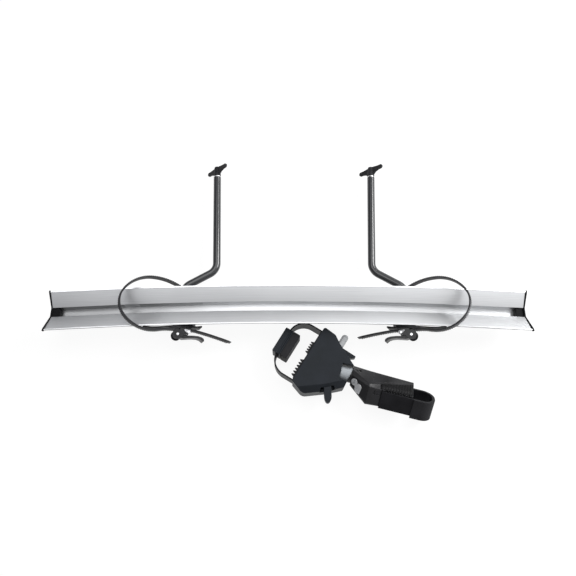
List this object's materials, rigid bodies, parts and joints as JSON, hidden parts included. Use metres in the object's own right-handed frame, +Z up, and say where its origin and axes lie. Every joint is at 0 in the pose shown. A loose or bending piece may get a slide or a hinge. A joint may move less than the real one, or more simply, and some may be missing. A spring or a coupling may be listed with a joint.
{
  "type": "wheel tray adapter",
  "caption": "Aluminium V-section wheel tray on cranked clamp bars with wing knobs, ratchet wheel straps and a loose locking frame clamp.",
  "frame": {"origin": "on the level that the feet stand on, under the middle of the tray", "axes": "+X along the tray to the picture's right, +Y away from the near side along the bars, +Z up"},
  "size_m": [1.083, 0.6246, 0.1369],
  "materials": {
    "tray_aluminium": "satin",
    "cap_plastic": "satin",
    "bar_paint": "satin",
    "saddle_plastic": "satin",
    "knob_plastic": "matte",
    "bright_zinc": "polished",
    "strap_plastic": "satin",
    "buckle_plastic": "gloss",
    "buckle_steel": "satin",
    "jaw_plastic": "satin",
    "grip_rubber": "matte",
    "band_plastic": "satin",
    "button_plastic": "satin",
    "neck_aluminium": "brushed",
    "housing_plastic": "satin",
    "lock_metal": "polished"
  },
  "bodies": {
    "tray": {"tray_rail": "tray_aluminium", "end_cap_left": "cap_plastic", "end_cap_right": "cap_plastic"},
    "carriage_left": {"bar_tube_left": "bar_paint", "bar_plug_left": "cap_plastic", "bar_insert_left": "bright_zinc", "clamp_washer_left": "bright_zinc", "tray_saddle_left": "saddle_plastic", "foot_saddle_left": "saddle_plastic", "saddle_bolts_left": "bright_zinc", "slot_nut_left": "bright_zinc", "ladder_strap_left": "strap_plastic", "strap_pin_left": "bright_zinc", "buckle_base_left": "strap_plastic", "buckle_frame_left": "buckle_steel", "buckle_pins_left": "bright_zinc"},
    "knob_left": {"wing_knob_left": "knob_plastic", "knob_stud_left": "bright_zinc"},
    "lever_left": {"ratchet_lever_left": "buckle_plastic"},
    "pawl_left": {"buckle_pawl_left": "bright_zinc"},
    "carriage_right": {"bar_tube_right": "bar_paint", "bar_plug_right": "cap_plastic", "bar_insert_right": "bright_zinc", "clamp_washer_right": "bright_zinc", "tray_saddle_right": "saddle_plastic", "foot_saddle_right": "saddle_plastic", "saddle_bolts_right": "bright_zinc", "slot_nut_right": "bright_zinc", "ladder_strap_right": "strap_plastic", "strap_pin_right": "bright_zinc", "buckle_base_right": "strap_plastic", "buckle_frame_right": "buckle_steel", "buckle_pins_right": "bright_zinc"},
    "knob_right": {"wing_knob_right": "knob_plastic", "knob_stud_right": "bright_zinc"},
    "lever_right": {"ratchet_lever_right": "buckle_plastic"},
    "pawl_right": {"buckle_pawl_right": "bright_zinc"},
    "clamp_arm": {"arm_neck": "neck_aluminium", "arm_housing": "housing_plastic", "top_panel": "housing_plastic", "lock_plate": "lock_metal", "loop_band": "band_plastic", "loop_sleeve": "grip_rubber"},
    "clamp_jaw": {"jaw_shell_lower": "jaw_plastic", "jaw_shell_upper": "jaw_plastic", "jaw_grip": "grip_rubber", "tension_band": "band_plastic", "pad_rubber": "grip_rubber", "pad_shoe": "jaw_plastic", "jaw_pins": "bright_zinc", "jaw_screws": "bright_zinc"},
    "tension_lever": {"tension_lever": "jaw_plastic"},
    "release_lever": {"release_lever": "jaw_plastic"},
    "release_button": {"release_button": "button_plastic"},
    "lock": {"lock_barrel": "lock_metal"},
    "band_release": {"band_release": "housing_plastic"}
  },
  "joints": [
    {"name": "carriage_slide_left", "type": "slide", "parent": "tray", "child": "carriage_left", "axis": [0.9996, 0.0271, 0], "range_m": [-0.025, 0.025]},
    {"name": "knob_turn_left", "type": "hinge", "parent": "carriage_left", "child": "knob_left", "pos_m": [-0.17492, 0.34699, 0.0325], "axis": [-0.0271, 0.9996, 0], "continuous": true},
    {"name": "lever_hinge_left", "type": "hinge", "parent": "carriage_left", "child": "lever_left", "pos_m": [-0.24649, -0.0686, 0.0811], "axis": [-0.3745, -0.0101, -0.9272], "range_deg": [0, 80]},
    {"name": "pawl_hinge_left", "type": "hinge", "parent": "carriage_left", "child": "pawl_left", "pos_m": [-0.22534, -0.06182, 0.07249], "axis": [-0.3745, -0.0101, -0.9272], "range_deg": [-10, 0], "stiffness_Nm_per_rad": 0.05, "springref_deg": 11.46},
    {"name": "carriage_slide_right", "type": "slide", "parent": "tray", "child": "carriage_right", "axis": [0.9995, -0.0303, 0], "range_m": [-0.025, 0.025]},
    {"name": "knob_turn_right", "type": "hinge", "parent": "carriage_right", "child": "knob_right", "pos_m": [0.20504, 0.34638, 0.0325], "axis": [0.0303, 0.9995, 0], "continuous": true},
    {"name": "lever_hinge_right", "type": "hinge", "parent": "carriage_right", "child": "lever_right", "pos_m": [0.27527, -0.06944, 0.0811], "axis": [-0.3744, 0.0113, 0.9272], "range_deg": [0, 80]},
    {"name": "pawl_hinge_right", "type": "hinge", "parent": "carriage_right", "child": "pawl_right", "pos_m": [0.25414, -0.0626, 0.07249], "axis": [-0.3744, 0.0113, 0.9272], "range_deg": [-10, 0], "stiffness_Nm_per_rad": 0.05, "springref_deg": 11.46},
    {"name": "clamp_lift", "type": "slide", "parent": "tray", "child": "clamp_jaw", "axis": [0, -0.342, 0.9397], "range_m": [0, 0.2]},
    {"name": "jaw_swivel", "type": "hinge", "parent": "clamp_jaw", "child": "clamp_arm", "pos_m": [0.1306, -0.1483, 0.042], "axis": [0.9703, -0.2419, 0], "continuous": true},
    {"name": "tension_hinge", "type": "hinge", "parent": "clamp_jaw", "child": "tension_lever", "pos_m": [0.08629, -0.16367, 0.047], "axis": [0, 0, 1], "range_deg": [-20, 20]},
    {"name": "release_hinge", "type": "hinge", "parent": "clamp_jaw", "child": "release_lever", "pos_m": [0.12188, -0.09986, 0.024], "axis": [0, 0, 1], "range_deg": [-15, 0], "stiffness_Nm_per_rad": 0.05, "springref_deg": 11.46},
    {"name": "button_slide", "type": "slide", "parent": "clamp_jaw", "child": "release_button", "axis": [-0.5225, -0.8526, 0], "range_m": [0, 0.005], "stiffness_N_per_m": 400, "springref_m": -0.003},
    {"name": "lock_turn", "type": "hinge", "parent": "clamp_arm", "child": "lock", "pos_m": [0.14603, -0.16907, 0.05949], "axis": [-0.6211, -0.3646, 0.6937], "range_deg": [0, 90]},
    {"name": "release_press", "type": "slide", "parent": "clamp_arm", "child": "band_release", "axis": [0.1422, 0.5703, -0.809], "range_m": [0, 0.003], "stiffness_N_per_m": 300, "springref_m": -0.003}
  ]
}
